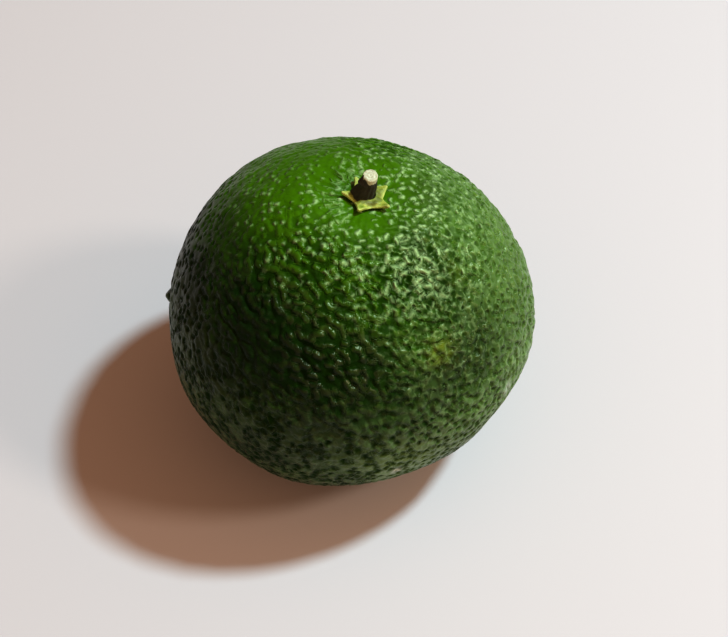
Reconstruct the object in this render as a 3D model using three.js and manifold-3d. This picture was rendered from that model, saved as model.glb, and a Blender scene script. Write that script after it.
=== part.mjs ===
// A kabosu: a small green citrus fruit with its calyx and a short cut stalk, standing on its blossom end.
// Millimetres, +Z up. The origin is on the surface that the fruit rests on, under the middle of its outline.
//
// The pieces are modelled in the fruit's own frame: its centre is the fruit's centre, and its +Z runs out
// through the stalk. That frame then leans a little and is lifted onto the surface.

import * as THREE from "three";
import { mergeVertices } from "three/addons/utils/BufferGeometryUtils.js";
import Module from "manifold-3d";

const DEGREES = Math.PI / 180;
const TURN = 2 * Math.PI;

// ---- Driving dimensions -------------------------------------------------------------------------------

const EQUATOR_RADIUS = 30;
const STALK_END_HEIGHT = 27.1; // from the centre to the stalk end, before the hollow there
const BLOSSOM_END_HEIGHT = 26.9; // from the centre to the blossom end, before its ring and scar
const LEAN = 6.5 * DEGREES; // how far the stalk end leans towards +X
const FLATTENED = 0.7; // how much of the lowest skin is pressed flat where the fruit rests

// Slow waves round the equator: how many there are, their height as a share of the radius, and where
// one peaks. Azimuths are measured from +X towards +Y.
const WAVES = [
  { count: 2, share: 0.008, azimuth: 40 * DEGREES },
  { count: 3, share: 0.017, azimuth: 1 * DEGREES },
];

// Broad swells and dents in the sides. Polar angles are measured from the stalk.
const SWELLS = [
  { azimuth: -9 * DEGREES, polar: 91 * DEGREES, height: 0.3, spread: 5 },
  { azimuth: -27 * DEGREES, polar: 108 * DEGREES, height: -0.45, spread: 5 },
  { azimuth: -41 * DEGREES, polar: 116 * DEGREES, height: 0.35, spread: 5 },
  { azimuth: -66 * DEGREES, polar: 128 * DEGREES, height: -0.2, spread: 6 },
  { azimuth: -110 * DEGREES, polar: 131 * DEGREES, height: 0.7, spread: 7 },
  { azimuth: -157 * DEGREES, polar: 114 * DEGREES, height: 0.65, spread: 7 },
  { azimuth: 129 * DEGREES, polar: 60 * DEGREES, height: 0.25, spread: 7 },
  { azimuth: 41 * DEGREES, polar: 56 * DEGREES, height: 0.25, spread: 6 },
  { azimuth: 96 * DEGREES, polar: 104 * DEGREES, height: -0.4, spread: 8 },
];

// Rings round the two ends: the height of each one's crest, how far the crest is from the end, and its
// half-width. A crest at the end itself is a dome or a hollow.
const STALK_HOLLOW = { height: -2.2, at: 0, halfWidth: 6.8 };
const STALK_SHOULDER = { height: 0.2, at: 11.5, halfWidth: 3.6 };
const BLOSSOM_RING = { height: 0.35, at: 5.2, halfWidth: 2.6 };
const BLOSSOM_GROOVE = { height: -0.25, at: 10, halfWidth: 2.2 };
const STYLE_SCAR = { height: -0.9, at: 0, halfWidth: 1.5 };

// A single wart on the -X side.
const WART = { azimuth: 177 * DEGREES, polar: 93 * DEGREES, radius: 1.9, height: 1.1 };

const CALYX_POINTS = 5;
const CALYX_TIP_RADIUS = 4.1;
const CALYX_NOTCH_RADIUS = 2.45;
const CALYX_TIP_AZIMUTH = -36 * DEGREES; // where the first point is
const CALYX_TIP_LENGTHS = [1.03, 0.94, 1, 0.97, 1]; // each point's own share of the tip radius
const CALYX_TIP_NARROWING = 1.6; // over 1 makes the points slimmer and the notches wider
const CALYX_THICKNESS = 0.65;
const CALYX_EDGE_THICKNESS = 0.36;
const CALYX_TIP_CURL = 0.3; // how far a point's end lifts off the skin

const STALK_RADIUS = 1.15;
const STALK_ROOT_RADIUS = 1.05;
const STALK_FLARE_RADIUS = 1.75; // where the stalk spreads onto the calyx
const STALK_HEIGHT = 5.3; // from the floor of the hollow to the middle of the cut
const STALK_ROOT_DEPTH = 1.6; // how far the stalk's root goes into the fruit
const STALK_CUT_SLANT = 12 * DEGREES; // how far the cut turns towards -Y

const CLEARANCE = 0.3; // between two pieces that meet

// ---- Mesh density ---------------------------------------------------------------------------------------

const SKIN_SECTORS = 64;
const SKIN_RINGS = 42;
const SKIN_END_CROWDING = 0.5; // 0 spaces the rings evenly, and towards 1 crowds them at the two ends
const WART_SECTORS = 12;
const WART_STEPS = 5;
const CALYX_SECTORS = 12 * CALYX_POINTS;
const CALYX_STATIONS = [0, 0.3, 0.6, 0.85, 0.97]; // shares of the way from the calyx's hole to its edge
const STALK_SECTORS = 20;
const STALK_STEPS = 8;

// ---- Solids and surfaces --------------------------------------------------------------------------------

const wasm = await Module();
wasm.setup();

// A closed geometry as a solid that can be joined and cut.
function solidFrom(geometry) {
  const bare = geometry.clone();
  bare.deleteAttribute("normal");
  bare.deleteAttribute("uv");
  const merged = mergeVertices(bare);
  const vertProperties = merged.attributes.position.array;
  const triVerts = new Uint32Array(merged.index.array);
  return new wasm.Manifold(new wasm.Mesh({ numProp: 3, vertProperties, triVerts }));
}

// A solid's surface as a geometry.
function geometryFrom(solid) {
  const mesh = solid.getMesh();
  const geometry = new THREE.BufferGeometry();
  geometry.setAttribute("position", new THREE.BufferAttribute(mesh.vertProperties, 3));
  geometry.setIndex(new THREE.BufferAttribute(mesh.triVerts, 1));
  geometry.computeVertexNormals();
  return geometry;
}

// Two triangles for each cell between one loop of points and the next. Seen from outside, the loops run
// anticlockwise and the next one is below.
function bridgeLoops(index, upper, lower, length) {
  for (let column = 0; column < length; column++) {
    const next = (column + 1) % length;
    index.push(upper + column, lower + column, upper + next);
    index.push(upper + next, lower + column, lower + next);
  }
}

function surfaceFrom(points, index) {
  const geometry = new THREE.BufferGeometry().setFromPoints(points);
  geometry.setIndex(index);
  geometry.computeVertexNormals();
  return geometry;
}

// ---- The skin's shape -----------------------------------------------------------------------------------

const bell = (distance, halfWidth) => Math.exp(-((distance / halfWidth) ** 2));

function direction(polar, azimuth) {
  const out = Math.sin(polar);
  return new THREE.Vector3(out * Math.cos(azimuth), out * Math.sin(azimuth), Math.cos(polar));
}

// The distance from the fruit's centre to its skin.
function skinRadius(polar, azimuth) {
  const endHeight = polar < Math.PI / 2 ? STALK_END_HEIGHT : BLOSSOM_END_HEIGHT;
  let radius = 1 / Math.hypot(Math.sin(polar) / EQUATOR_RADIUS, Math.cos(polar) / endHeight);
  for (const wave of WAVES) {
    const phase = wave.count * (azimuth - wave.azimuth);
    radius *= 1 + wave.share * Math.cos(phase) * Math.sin(polar) ** wave.count;
  }
  const towards = direction(polar, azimuth);
  for (const swell of SWELLS) {
    const distance = towards.angleTo(direction(swell.polar, swell.azimuth)) * EQUATOR_RADIUS;
    radius += swell.height * bell(distance, swell.spread);
  }
  const fromStalk = polar * STALK_END_HEIGHT;
  for (const ring of [STALK_HOLLOW, STALK_SHOULDER]) {
    radius += ring.height * bell(fromStalk - ring.at, ring.halfWidth);
  }
  const fromBlossom = (Math.PI - polar) * BLOSSOM_END_HEIGHT;
  for (const ring of [BLOSSOM_RING, BLOSSOM_GROOVE, STYLE_SCAR]) {
    radius += ring.height * bell(fromBlossom - ring.at, ring.halfWidth);
  }
  return radius;
}

// A point on the skin, or above it by the given height.
function onSkin(polar, azimuth, above = 0) {
  return direction(polar, azimuth).multiplyScalar(skinRadius(polar, azimuth) + above);
}

const HOLLOW_FLOOR = skinRadius(0, 0); // the height of the skin under the stalk

// ---- The fruit ------------------------------------------------------------------------------------------

function skinGeometry() {
  const points = [];
  const index = [];
  for (let ring = 1; ring < SKIN_RINGS; ring++) {
    const share = ring / SKIN_RINGS;
    const polar = Math.PI * share - (SKIN_END_CROWDING / 2) * Math.sin(TURN * share);
    for (let sector = 0; sector < SKIN_SECTORS; sector++) {
      points.push(onSkin(polar, (TURN * sector) / SKIN_SECTORS));
    }
    if (ring > 1) {
      bridgeLoops(index, (ring - 2) * SKIN_SECTORS, (ring - 1) * SKIN_SECTORS, SKIN_SECTORS);
    }
  }
  const lastLoop = points.length - SKIN_SECTORS;
  const stalkEnd = points.push(onSkin(0, 0)) - 1;
  const blossomEnd = points.push(onSkin(Math.PI, 0)) - 1;
  for (let sector = 0; sector < SKIN_SECTORS; sector++) {
    const next = (sector + 1) % SKIN_SECTORS;
    index.push(stalkEnd, sector, next);
    index.push(blossomEnd, lastLoop + next, lastLoop + sector);
  }
  return surfaceFrom(points, index);
}

// A bell-shaped wart with its root sunk into the skin.
function wartGeometry() {
  const profile = [new THREE.Vector2(0, -WART.radius), new THREE.Vector2(WART.radius, -WART.radius)];
  for (let step = 0; step <= WART_STEPS; step++) {
    const out = 1 - step / WART_STEPS;
    const rise = Math.cos((Math.PI / 2) * out) ** 2;
    profile.push(new THREE.Vector2(WART.radius * out, WART.height * rise));
  }
  const outwards = direction(WART.polar, WART.azimuth);
  const turn = new THREE.Quaternion().setFromUnitVectors(new THREE.Vector3(0, 1, 0), outwards);
  const base = onSkin(WART.polar, WART.azimuth);
  const wart = new THREE.LatheGeometry(profile, WART_SECTORS);
  return wart.applyQuaternion(turn).translate(base.x, base.y, base.z);
}

// ---- The calyx ------------------------------------------------------------------------------------------

// How far the calyx reaches from the stalk in a direction.
function calyxReach(azimuth) {
  const turns = (CALYX_POINTS * (azimuth - CALYX_TIP_AZIMUTH)) / TURN;
  const point = THREE.MathUtils.euclideanModulo(Math.round(turns), CALYX_POINTS);
  const nearTip = ((1 + Math.cos(TURN * turns)) / 2) ** CALYX_TIP_NARROWING;
  const tip = CALYX_TIP_RADIUS * CALYX_TIP_LENGTHS[point];
  return THREE.MathUtils.lerp(CALYX_NOTCH_RADIUS, tip, nearTip);
}

// A point of the calyx at a share of the way out to its edge. Height 0 is its underside and 1 its top.
function onCalyx(azimuth, share, height) {
  const hole = STALK_ROOT_RADIUS + CLEARANCE;
  const out = THREE.MathUtils.lerp(hole, calyxReach(azimuth), share);
  const thickness = THREE.MathUtils.lerp(CALYX_THICKNESS, CALYX_EDGE_THICKNESS, share);
  const curl = CALYX_TIP_CURL * (out / CALYX_TIP_RADIUS) ** 3;
  return onSkin(out / HOLLOW_FLOOR, azimuth, CLEARANCE + curl + thickness * height);
}

// A star with a hole for the stalk, lying over the floor of the hollow. Each loop of points is one section
// through it: out along the underside from the hole, round the edge, and back along the top.
function calyxGeometry() {
  const points = [];
  const index = [];
  const loopLength = 2 * CALYX_STATIONS.length + 1;
  for (let sector = 0; sector < CALYX_SECTORS; sector++) {
    const azimuth = (TURN * sector) / CALYX_SECTORS;
    const underside = CALYX_STATIONS.map((share) => onCalyx(azimuth, share, 0));
    const top = CALYX_STATIONS.map((share) => onCalyx(azimuth, share, 1));
    points.push(...underside, onCalyx(azimuth, 1, 0.5), ...top.reverse());
    const following = (sector + 1) % CALYX_SECTORS;
    bridgeLoops(index, sector * loopLength, following * loopLength, loopLength);
  }
  return surfaceFrom(points, index);
}

// ---- The stalk ------------------------------------------------------------------------------------------

// Turns a geometry whose +Y is the stalk's axis so that it stands in the fruit's hollow. Its height 0 is
// the floor of the hollow.
function standInHollow(geometry) {
  return geometry.rotateX(Math.PI / 2).translate(0, 0, HOLLOW_FLOOR);
}

// The hole in the fruit that the stalk's root stands in.
function socketGeometry() {
  const radius = STALK_ROOT_RADIUS + CLEARANCE;
  const depth = STALK_ROOT_DEPTH + CLEARANCE;
  const socket = new THREE.CylinderGeometry(radius, radius, 2 * depth, STALK_SECTORS);
  return standInHollow(socket);
}

// A root, then a flare that sits on the calyx, and then the stub as long as it was before the cut.
function uncutStalkGeometry() {
  const flareHeight = CALYX_THICKNESS + 3 * CLEARANCE;
  const uncutHeight = STALK_HEIGHT + STALK_RADIUS;
  const flareToStub = new THREE.CubicBezierCurve(
    new THREE.Vector2(STALK_FLARE_RADIUS, flareHeight),
    new THREE.Vector2(STALK_FLARE_RADIUS, flareHeight + STALK_RADIUS / 2),
    new THREE.Vector2(STALK_RADIUS, flareHeight + STALK_RADIUS / 2),
    new THREE.Vector2(STALK_RADIUS, uncutHeight),
  );
  const profile = [
    new THREE.Vector2(0, -STALK_ROOT_DEPTH),
    new THREE.Vector2(STALK_ROOT_RADIUS, -STALK_ROOT_DEPTH),
    new THREE.Vector2(STALK_ROOT_RADIUS, flareHeight),
    ...flareToStub.getPoints(STALK_STEPS),
    new THREE.Vector2(0, uncutHeight),
  ];
  return standInHollow(new THREE.LatheGeometry(profile, STALK_SECTORS));
}

// A block over the stalk's end whose slanting underside is the cut.
function offcutGeometry() {
  const size = 6 * STALK_RADIUS;
  const offcut = new THREE.BoxGeometry(size, size, size).translate(0, size / 2, 0);
  offcut.rotateX(-STALK_CUT_SLANT).translate(0, STALK_HEIGHT, 0);
  return standInHollow(offcut);
}

// ---- Assembly -------------------------------------------------------------------------------------------

const skinMaterial = new THREE.MeshStandardMaterial({ color: 0x2f6312, roughness: 0.42, metalness: 0 });
const calyxMaterial = new THREE.MeshStandardMaterial({ color: 0x98a53c, roughness: 0.7, metalness: 0 });
const stalkMaterial = new THREE.MeshStandardMaterial({ color: 0x5b4a25, roughness: 0.85, metalness: 0 });

function addMesh(group, name, geometry, material) {
  const mesh = new THREE.Mesh(geometry, material);
  mesh.name = name;
  group.add(mesh);
}

// Leans a group and lifts it so that the middle of the geometry's outline is over the origin, and the
// surface at height 0 takes off the flattened skin.
function standOnSurface(group, geometry) {
  group.rotation.y = LEAN;
  group.updateMatrixWorld(true);
  const leaning = geometry.clone().applyMatrix4(group.matrixWorld);
  const outline = new THREE.Box3().setFromBufferAttribute(leaning.attributes.position);
  const middle = outline.getCenter(new THREE.Vector3());
  group.position.set(-middle.x, -middle.y, -outline.min.z - FLATTENED);
  group.updateMatrixWorld(true);
}

// The surface that the fruit rests on, as a block below height 0, in the leaning frame.
function restGeometry(group) {
  const size = 4 * EQUATOR_RADIUS;
  const rest = new THREE.BoxGeometry(size, size, size).translate(0, 0, -size / 2);
  return rest.applyMatrix4(group.matrixWorld.clone().invert());
}

const grown = solidFrom(skinGeometry()).add(solidFrom(wartGeometry()));
const fruitFrame = new THREE.Group();
standOnSurface(fruitFrame, geometryFrom(grown));

const fruit = grown.subtract(solidFrom(socketGeometry())).subtract(solidFrom(restGeometry(fruitFrame)));
const stalk = solidFrom(uncutStalkGeometry()).subtract(solidFrom(offcutGeometry()));

addMesh(fruitFrame, "fruit", geometryFrom(fruit), skinMaterial);
addMesh(fruitFrame, "calyx", calyxGeometry(), calyxMaterial);
addMesh(fruitFrame, "stalk", geometryFrom(stalk), stalkMaterial);

const kabosu = new THREE.Group();
kabosu.add(fruitFrame);

export default kabosu;
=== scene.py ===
"""A fresh kabosu on a pale table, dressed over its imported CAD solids.

The pieces are shaped in the fruit's own frame, in millimetres: its centre is the fruit's centre, and its
+Z runs out through the stalk. into_row_frame() then leans them, sets them in the CAD model's box and turns
them into metres. Polar angles are measured from the stalk, and azimuths from +X towards +Y.
"""
import math

import bmesh
import bpy
import numpy as np
from mathutils import Matrix, Vector
from mathutils.kdtree import KDTree


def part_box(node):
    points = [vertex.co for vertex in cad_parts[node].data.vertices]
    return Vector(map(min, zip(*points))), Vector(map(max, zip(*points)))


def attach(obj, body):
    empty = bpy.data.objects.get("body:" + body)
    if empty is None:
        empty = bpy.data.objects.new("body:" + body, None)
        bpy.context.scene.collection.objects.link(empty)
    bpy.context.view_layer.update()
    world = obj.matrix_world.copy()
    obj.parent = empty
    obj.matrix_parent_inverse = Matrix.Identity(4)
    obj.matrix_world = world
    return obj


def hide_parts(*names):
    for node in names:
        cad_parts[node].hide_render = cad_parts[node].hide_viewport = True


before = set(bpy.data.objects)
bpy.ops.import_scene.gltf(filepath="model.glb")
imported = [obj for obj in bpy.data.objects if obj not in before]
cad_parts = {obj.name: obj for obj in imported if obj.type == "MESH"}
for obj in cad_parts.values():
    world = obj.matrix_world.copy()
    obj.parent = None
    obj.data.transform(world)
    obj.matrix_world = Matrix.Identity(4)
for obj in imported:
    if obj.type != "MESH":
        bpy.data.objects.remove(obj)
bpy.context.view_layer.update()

TURN = 2 * math.pi
MM = 0.001

# ---- The fruit's form, as in the CAD model -----------------------------------------------------------

EQUATOR_RADIUS = 30
STALK_END_HEIGHT = 27.1
BLOSSOM_END_HEIGHT = 26.9
LEAN = math.radians(6.5)

# Slow waves round the equator: how many, their height as a share of the radius, and one crest's azimuth.
WAVES = [(2, 0.008, 40), (3, 0.017, 1)]

# Broad swells and dents, each as in bells(), with their heights as strengths.
SWELLS = [
    (-9, 91, 5, 0.3),
    (-27, 108, 5, -0.45),
    (-41, 116, 5, 0.35),
    (-66, 128, 6, -0.2),
    (-110, 131, 7, 0.7),
    (-157, 114, 7, 0.65),
    (129, 60, 7, 0.25),
    (41, 56, 6, 0.25),
    (96, 104, 8, -0.4),
]

# Rings round the two ends: the height of the crest, its distance from the end, and its half-width.
STALK_RINGS = [(-2.2, 0, 6.8), (0.2, 11.5, 3.6)]
BLOSSOM_RINGS = [(0.35, 5.2, 2.6), (-0.25, 10, 2.2), (-0.9, 0, 1.5)]

WART_AZIMUTH, WART_POLAR, WART_RADIUS, WART_HEIGHT = 177, 93, 1.9, 1.1

# ---- Helpers -----------------------------------------------------------------------------------------

WAVE_COUNT = 40
WAVE_STRETCHES = (0.75, 1.35)
GRAIN_PULL = 0.4  # how much of each wave's run along the grain is taken out
TRIES_PER_PLACE = 9
WELD_DIGITS = 6


def bell(distance, half_width):
    return np.exp(-((distance / half_width) ** 2))


def smooth_step(start, end, value):
    share = np.clip((value - start) / (end - start), 0, 1)
    return share * share * (3 - 2 * share)


def less(share, amount):
    """A factor that takes off a share of something where the amount is 1, and nothing where it is 0."""
    return 1 - share * amount


def at_least(least, amount):
    """A factor that runs from the least where the amount is 0 to 1 where it is 1."""
    return least + (1 - least) * amount


def direction(azimuth, polar):
    """The unit vector at an azimuth and a polar angle in degrees."""
    azimuth, polar = np.radians(azimuth), np.radians(polar)
    out = np.sin(polar)
    return np.stack([out * np.cos(azimuth), out * np.sin(azimuth), np.cos(polar) + 0 * out], axis=-1)


def angles_of(towards):
    """Azimuths and polar angles of unit vectors, in radians."""
    polar = np.arccos(np.clip(towards[:, 2], -1, 1))
    return np.arctan2(towards[:, 1], towards[:, 0]), polar


def distance_from(towards, azimuth, polar):
    """Roughly how far along the skin each unit vector is from a place on it."""
    return np.arccos(np.clip(towards @ direction(azimuth, polar), -1, 1)) * EQUATOR_RADIUS


def polar_degrees(towards):
    return np.degrees(angles_of(towards)[1])


def bells(towards, places):
    """The sum of soft round spots on the skin: azimuth, polar angle, half-width and strength of each."""
    total = np.zeros(len(towards))
    for azimuth, polar, half_width, strength in places:
        total += strength * bell(distance_from(towards, azimuth, polar), half_width)
    return total


def random_field(points, wavelength, seed, grain=None):
    """A smooth random field with a mean of 0 and a spread of about 1, drawn out along the grain if any."""
    rng = np.random.default_rng(seed)
    ways = rng.normal(size=(WAVE_COUNT, 3))
    ways /= np.linalg.norm(ways, axis=1, keepdims=True)
    if grain is not None:
        ways -= GRAIN_PULL * (ways @ grain)[:, None] * grain
    phases = rng.uniform(0, TURN, WAVE_COUNT)
    stretches = rng.uniform(*WAVE_STRETCHES, WAVE_COUNT)
    total = np.zeros(len(points))
    for way, phase, stretch in zip(ways, phases, stretches):
        total += np.cos(points @ way * (TURN * stretch / wavelength) + phase)
    return total * math.sqrt(2 / WAVE_COUNT)


def skin_point(towards):
    """The points of the smooth skin in the directions of unit vectors."""
    azimuth, polar = angles_of(towards)
    end_height = np.where(polar < math.pi / 2, STALK_END_HEIGHT, BLOSSOM_END_HEIGHT)
    radius = 1 / np.hypot(np.sin(polar) / EQUATOR_RADIUS, np.cos(polar) / end_height)
    for count, share, crest in WAVES:
        radius *= 1 + share * np.cos(count * (azimuth - math.radians(crest))) * np.sin(polar) ** count
    radius += bells(towards, SWELLS)
    for height, at, half_width in STALK_RINGS:
        radius += height * bell(polar * STALK_END_HEIGHT - at, half_width)
    for height, at, half_width in BLOSSOM_RINGS:
        radius += height * bell((math.pi - polar) * BLOSSOM_END_HEIGHT - at, half_width)
    from_wart = distance_from(towards, WART_AZIMUTH, WART_POLAR) / WART_RADIUS
    radius += WART_HEIGHT * np.cos(math.pi / 2 * np.clip(from_wart, 0, 1)) ** 2
    return towards * radius[:, None]


def normals_of(points, triangles):
    a, b, c = (points[triangles[:, corner]] for corner in range(3))
    faces = np.cross(b - a, c - a)
    normals = np.zeros_like(points)
    for corner in range(3):
        for axis in range(3):
            normals[:, axis] += np.bincount(triangles[:, corner], faces[:, axis], len(points))
    return normals / np.linalg.norm(normals, axis=1, keepdims=True)


def near(points):
    """A function that gives the indices of the points within reach of a place."""
    tree = KDTree(len(points))
    for index, point in enumerate(points):
        tree.insert(point, index)
    tree.balance()
    return lambda place, reach: np.array([found[1] for found in tree.find_range(place, reach)], int)


def scatter(spacing, seed):
    """Unit vectors to places on the skin at random, no two closer than the spacing."""
    rng = np.random.default_rng(seed)
    count = int(2 * TURN * EQUATOR_RADIUS**2 / spacing**2 * TRIES_PER_PLACE)
    towards = rng.normal(size=(count, 3))
    towards /= np.linalg.norm(towards, axis=1, keepdims=True)
    points = skin_point(towards)
    within = near(points)
    kept = np.ones(count, bool)
    for index in range(count):
        if kept[index]:
            found = within(points[index], spacing)
            kept[found[found > index]] = False
    return towards[kept]


def geodesic_sphere(frequency, crowd):
    """Unit vectors over a sphere and the triangles between them, a little denser towards crowd."""
    ball = bmesh.new()
    bmesh.ops.create_icosphere(ball, subdivisions=1, radius=1)
    faces = np.array([[vertex.co for vertex in face.verts] for face in ball.faces])
    ball.free()
    steps = [(i, j) for i in range(frequency + 1) for j in range(frequency + 1 - i)]
    number = {step: index for index, step in enumerate(steps)}
    shares = np.array([(frequency - i - j, i, j) for i, j in steps]) / frequency
    cells = []
    for i, j in steps:
        if i + j < frequency:
            cells.append((number[i, j], number[i + 1, j], number[i, j + 1]))
        if i + j < frequency - 1:
            cells.append((number[i + 1, j], number[i + 1, j + 1], number[i, j + 1]))
    points = np.concatenate([shares @ face for face in faces])
    triangles = np.concatenate([np.array(cells) + index * len(steps) for index in range(len(faces))])
    welded = np.round(points, WELD_DIGITS)
    _, first, same = np.unique(welded, axis=0, return_index=True, return_inverse=True)
    points, triangles = points[first], same.reshape(-1)[triangles]
    points /= np.linalg.norm(points, axis=1, keepdims=True)
    points += crowd
    return points / np.linalg.norm(points, axis=1, keepdims=True), triangles


# ---- Where the fruit's own frame is ------------------------------------------------------------------

LEANING = Matrix.Rotation(LEAN, 3, "Y")
OUTLINE_FREQUENCY = 48


def fruit_centre():
    """The fruit's centre in the row frame, in metres: where its smooth skin fits the CAD solid's box."""
    towards, _ = geodesic_sphere(OUTLINE_FREQUENCY, np.zeros(3))
    outline = skin_point(towards) @ np.array(LEANING).T * MM
    low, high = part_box("fruit")
    middle = (outline.min(0) + outline.max(0)) / 2
    across = (low + high) / 2
    return Vector((across.x - middle[0], across.y - middle[1], high.z - outline[:, 2].max()))


CENTRE = fruit_centre()


def into_row_frame(points):
    """Points of the fruit's own frame, in millimetres, as points of the row frame, in metres."""
    return points @ np.array(LEANING).T * MM + np.array(CENTRE)


def add_piece(node, points, faces, attributes, material):
    """A smooth mesh that stands for a CAD node. Its material reads the attributes: numbers or places."""
    mesh = bpy.data.meshes.new(node + "_surface")
    mesh.from_pydata(into_row_frame(points).tolist(), [], faces)
    for label, values in attributes.items():
        if values.ndim == 2:
            places = mesh.attributes.new(label, "FLOAT_VECTOR", "POINT")
            places.data.foreach_set("vector", into_row_frame(values).ravel().astype(np.float32))
        else:
            numbers = mesh.attributes.new(label, "FLOAT", "POINT")
            numbers.data.foreach_set("value", values.astype(np.float32))
    mesh.polygons.foreach_set("use_smooth", [True] * len(mesh.polygons))
    mesh.materials.append(material)
    piece = bpy.data.objects.new(node + "_surface", mesh)
    bpy.context.scene.collection.objects.link(piece)
    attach(piece, "root")
    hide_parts(node)
    return mesh


# ---- Materials ---------------------------------------------------------------------------------------

# Rind colours. The deepest green is painted shade. The pit colour also paints shade in lows and valleys.
# The bead colour paints highlights as well as pale glands. The pale colour shows more where painted light
# falls.
RIND_VIVID = (0.046, 0.135, 0.0005)
RIND_SHADED_GREEN = (0.006, 0.015, 0.003)
RIND_OLIVE = (0.095, 0.16, 0.05)
RIND_PIT = (0.004, 0.02, 0.0005)
RIND_YELLOW = (0.13, 0.18, 0.015)
RIND_PALE = (0.14, 0.225, 0.105)
RIND_BEAD_AND_HIGHLIGHT = (0.28, 0.42, 0.2)
CORK_DARK, CORK_PALE = (0.17, 0.2, 0.14), (0.44, 0.53, 0.47)
SEPAL_GREEN, SEPAL_YELLOW = (0.15, 0.22, 0.018), (0.36, 0.41, 0.07)
SEPAL_RIM, SEPAL_HEART = (0.36, 0.44, 0.12), (0.1, 0.125, 0.014)
BARK_DARK, BARK_PALE = (0.006, 0.007, 0.002), (0.033, 0.034, 0.01)
COLLAR, WOOD_PALE, WOOD_DARK = (0.36, 0.38, 0.25), (0.42, 0.46, 0.34), (0.33, 0.35, 0.24)

RIND_SPECULAR, GLOSS_TINT = 0.28, (1, 1, 0.7)
WAXY_ROUGHNESS, SHELTERED_ROUGHNESS = (0.3, 0.38), 0.9
DULLING, UNGLOSSING, LEAST_GLOSS = (0.15, 0.6), (0, 0.45), 0.05  # by how sheltered the rind is
CALYX_ROUGHNESS, STALK_ROUGHNESS = 0.6, 0.75

# Where a form is whole and where it ends, as shares of its half-width.
PIT_EDGE = (0.1, 0.85)
PALE_EDGE = (0.6, 1.2)
BEAD_EDGE = (0, 1.1)
PEBBLE_EDGE = (0.1, 1)
MESH_MARGIN = 0.25  # how much further off the mesh may put an edge than it is

# Where lines and valleys end and where they are whole, as shares of the net's band or of a pebble.
LINE_EDGE, LOW_EDGE, VALLEY_EDGE = (0.05, 0.45), (0.2, 0.9), (0.2, 0.7)

# How edges wander, the net of winding lines, and patches of several kinds. Sizes are in millimetres.
EDGE_WAVE, EDGE_REACH = 0.9, 0.16
NET_SIZE, NET_BAND, NET_ROUNDING = 1.4, 0.2, 0.02
MOTTLE_SIZE, MOTTLE = 1.2, 0.12
BREAK_SIZE, BREAK_SOFTNESS = 1, 0.04
PIT_PATCH_SIZE, PIT_LEAST = 1.6, 0.3
CORK_SIZE, WAX_SIZE, GRAIN_SIZE, GRAIN_HEIGHT = 0.4, 0.8, 0.5, 0.03
SEPAL_PATCH_SIZE, SEPAL_GRAIN_SIZE, SEPAL_GRAIN_HEIGHT = 0.8, 0.2, 0.06
BARK_PATCH_SIZE, BARK_GRAIN_SIZE, BARK_GRAIN_HEIGHT = 0.35, 0.18, 0.08
FAINT_BEADS, FAINTNESS = (0.28, 0.5), 0.15  # the half-widths over which a bead's paleness grows to whole


def new_material(name):
    material = bpy.data.materials.new(name)
    material.use_nodes = True
    return material, material.node_tree, material.node_tree.nodes["Principled BSDF"]


def add_node(tree, kind, inputs, **settings):
    """A shader node. Each input is a number, a colour or another node's output."""
    node = tree.nodes.new("ShaderNode" + kind)
    for label, value in settings.items():
        setattr(node, label, value)
    for socket, value in inputs.items():
        if isinstance(value, bpy.types.NodeSocket):
            tree.links.new(value, node.inputs[socket])
        else:
            node.inputs[socket].default_value = value
    return node


def attribute(tree, label, output="Fac"):
    return add_node(tree, "Attribute", {}, attribute_name=label).outputs[output]


def vector_node(tree, operation, inputs, output="Vector"):
    return add_node(tree, "VectorMath", inputs, operation=operation).outputs[output]


def math_node(tree, operation, first, second=0):
    return add_node(tree, "Math", {0: first, 1: second}, operation=operation).outputs[0]


def product(tree, first, second):
    return math_node(tree, "MULTIPLY", first, second)


def larger(tree, first, second):
    return math_node(tree, "MAXIMUM", first, second)


def mix(tree, share, first, second):
    """A colour between two, each a socket or red, green and blue."""
    first, second = (c if isinstance(c, bpy.types.NodeSocket) else (*c, 1) for c in (first, second))
    node = add_node(tree, "Mix", {"Factor": share}, data_type="RGBA")
    for socket, value in (("A", first), ("B", second)):
        target = [i for i in node.inputs if i.name == socket and i.type == "RGBA"][0]
        if isinstance(value, bpy.types.NodeSocket):
            tree.links.new(value, target)
        else:
            target.default_value = value
    return [o for o in node.outputs if o.type == "RGBA"][0]


def remap(tree, value, low, high, to_low, to_high, kind="LINEAR"):
    inputs = {"Value": value, "From Min": low, "From Max": high, "To Min": to_low, "To Max": to_high}
    return add_node(tree, "MapRange", inputs, interpolation_type=kind).outputs["Result"]


def noise(tree, size, detail=3):
    """Noise in the row frame whose features are about that many millimetres across."""
    place = add_node(tree, "TexCoord", {}).outputs["Object"]
    inputs = {"Vector": place, "Scale": 1 / (size * MM), "Detail": detail}
    return add_node(tree, "TexNoise", inputs).outputs["Fac"]


def patches(tree, size, softness, low, high, detail=3):
    """Noise that runs from low to high, in patches that are the sharper the smaller the softness."""
    return remap(tree, noise(tree, size, detail), 0.5 - softness, 0.5 + softness, low, high)


def set_bump(tree, shader, height, depth):
    """Fine relief too small for the mesh, depth millimetres deep."""
    bump = add_node(tree, "Bump", {"Height": height, "Distance": depth * MM})
    tree.links.new(bump.outputs["Normal"], shader.inputs["Normal"])


def wavy_place(tree, size, reach):
    """Places in the row frame, each pushed up to about reach millimetres by noise of that size."""
    here = add_node(tree, "TexCoord", {}).outputs["Object"]
    inputs = {"Vector": here, "Scale": 1 / (size * MM), "Detail": 1}
    wobble = add_node(tree, "TexNoise", inputs).outputs["Color"]
    shift = vector_node(tree, "SUBTRACT", {0: wobble, 1: (0.5, 0.5, 0.5)})
    return vector_node(tree, "MULTIPLY_ADD", {0: shift, 1: (4 * reach * MM,) * 3, 2: here})


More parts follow.
